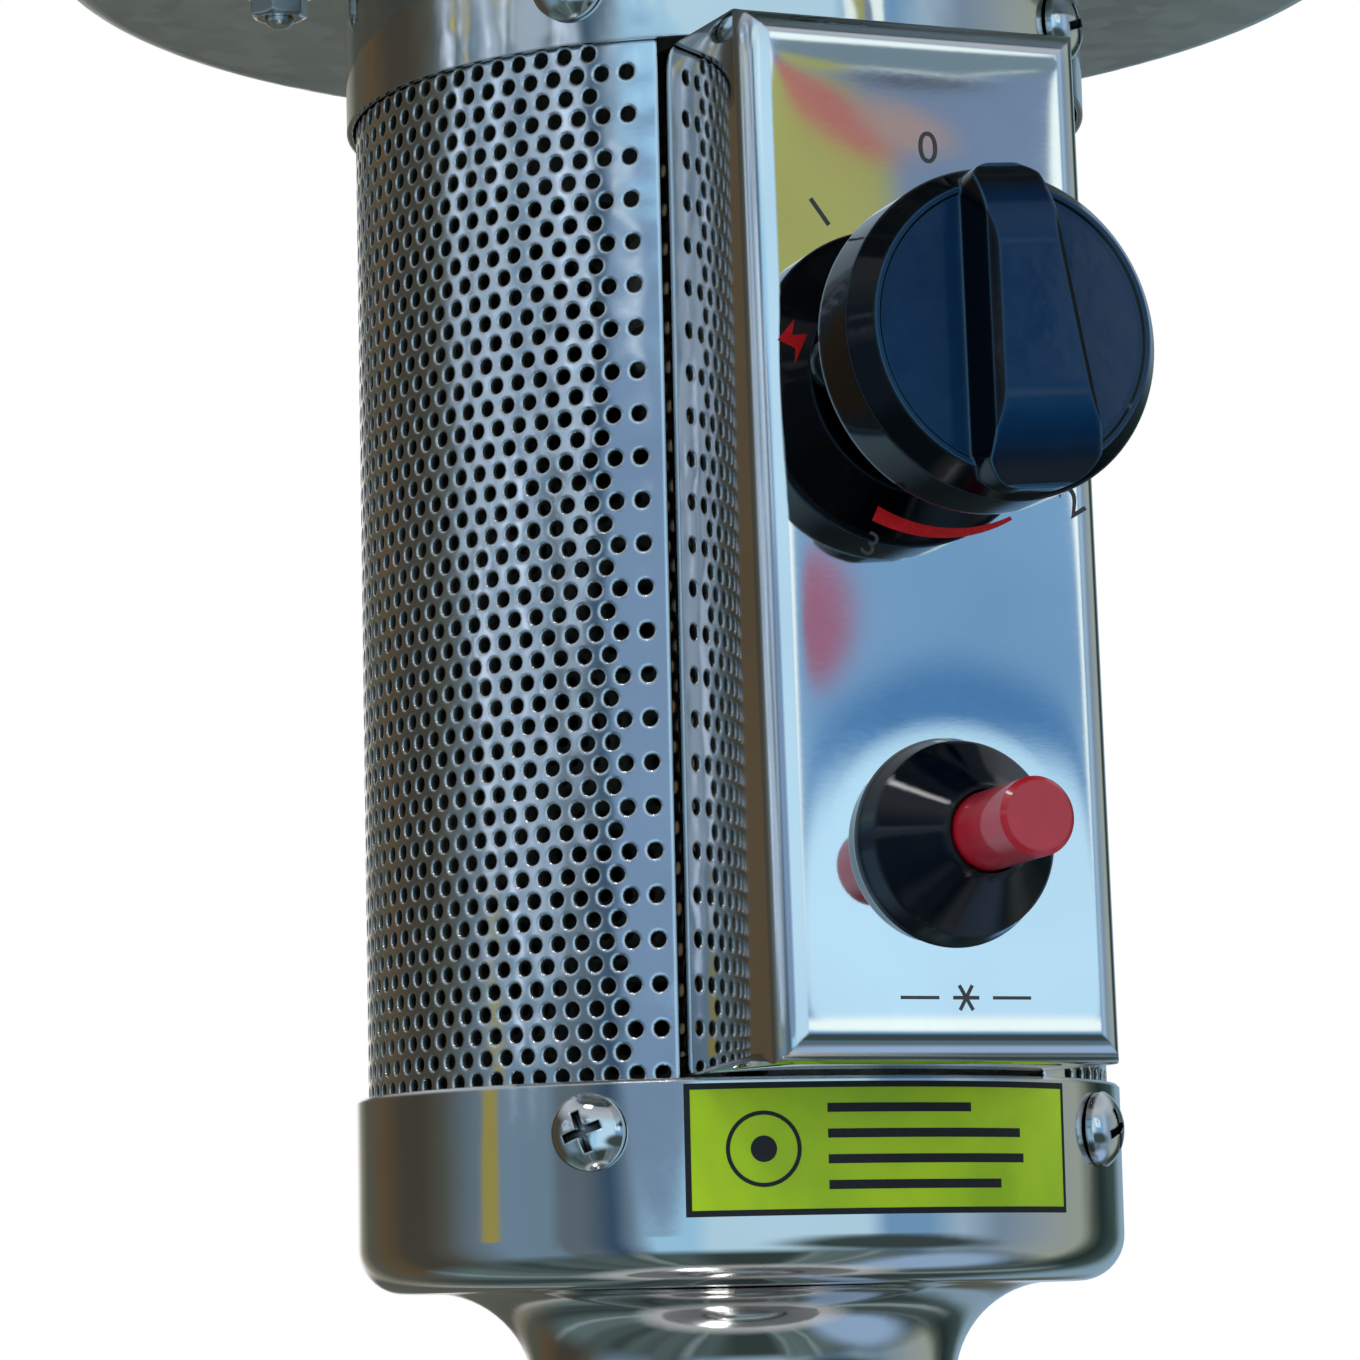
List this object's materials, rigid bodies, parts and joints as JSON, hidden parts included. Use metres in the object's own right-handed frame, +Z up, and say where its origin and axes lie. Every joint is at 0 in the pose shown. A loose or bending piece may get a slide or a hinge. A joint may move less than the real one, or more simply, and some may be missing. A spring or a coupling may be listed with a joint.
{
  "type": "tabletop patio heater",
  "caption": "Tabletop gas patio heater: round weighted base, slim post, perforated control housing with a leaning panel, knob and push igniter, burner tray, emitter and dished reflector.",
  "frame": {"origin": "middle of the base on the surface it stands on", "axes": "+Z up along the post, the control panel faces -Y"},
  "size_m": [0.5, 0.5, 0.8491],
  "materials": {
    "brushed_steel": "satin, brushed",
    "polished_steel": "polished",
    "screw_steel": "bright",
    "grey_steel": "galvanised, matt",
    "cast_weight": "as cast",
    "foot_rubber": "matt",
    "black_plastic": "satin",
    "bezel_plastic": "gloss",
    "button_plastic": "satin",
    "brass": "turned",
    "reflector_aluminium": "bright, spun",
    "emitter_steel": "perforated",
    "ceramic": "glazed ceramic",
    "lead_rubber": "matt",
    "copper_tube": "drawn",
    "spring_steel": "plain",
    "label_film": "printed film"
  },
  "bodies": {
    "heater": {"rubber_feet": "foot_rubber", "base_weight": "cast_weight", "base_shell": "brushed_steel", "post_foot_plate": "grey_steel", "middle_bolt": "screw_steel", "post": "brushed_steel", "post_foot_cover": "brushed_steel", "gas_inlet": "brass", "gas_inlet_nut": "brass", "supply_pipe": "copper_tube", "control_cup": "brushed_steel", "cup_screws": "screw_steel", "perforated_sleeve": "polished_steel", "upper_collar": "brushed_steel", "collar_screws": "screw_steel", "lower_ring": "grey_steel", "upper_ring": "grey_steel", "control_box": "polished_steel", "valve_body": "brass", "stem_spring": "spring_steel", "valve_screws": "screw_steel", "igniter_body": "black_plastic", "igniter_bezel": "bezel_plastic", "igniter_spring": "spring_steel", "igniter_nut": "screw_steel", "burner_pipe": "copper_tube", "gas_jet": "brass", "mixing_tube": "grey_steel", "burner_tray": "grey_steel", "burner_head": "grey_steel", "emitter_screen": "emitter_steel", "emitter_cap": "emitter_steel", "reflector_stays": "brushed_steel", "tray_washers": "screw_steel", "reflector_washers": "screw_steel", "tray_nuts": "screw_steel", "reflector_nuts": "screw_steel", "reflector": "reflector_aluminium", "pilot_tube": "copper_tube", "pilot_burner": "grey_steel", "sensor_lead": "copper_tube", "flame_sensor": "copper_tube", "spark_lead": "lead_rubber", "spark_electrode": "ceramic", "tilt_switch": "black_plastic", "cup_label": "label_film"},
    "knob": {"control_knob": "black_plastic", "valve_stem": "brass"},
    "stem_seat": {"stem_spring_seat": "screw_steel"},
    "igniter_button": {"igniter_button": "button_plastic"}
  },
  "joints": [
    {"name": "knob_push", "type": "slide", "parent": "heater", "child": "stem_seat", "axis": [0, 0.9995, -0.0304], "range_m": [0, 0.0025], "stiffness_N_per_m": 1500, "springref_m": -0.001, "deforming": ["stem_spring"]},
    {"name": "knob_turn", "type": "hinge", "parent": "stem_seat", "child": "knob", "pos_m": [0.001, -0.06634, 0.52426], "axis": [0, -0.9995, 0.0304], "range_deg": [0, 225]},
    {"name": "igniter_push", "type": "slide", "parent": "heater", "child": "igniter_button", "axis": [0, 0.9995, -0.0304], "range_m": [0, 0.008], "stiffness_N_per_m": 1200, "springref_m": -0.002, "deforming": ["igniter_spring"]}
  ]
}
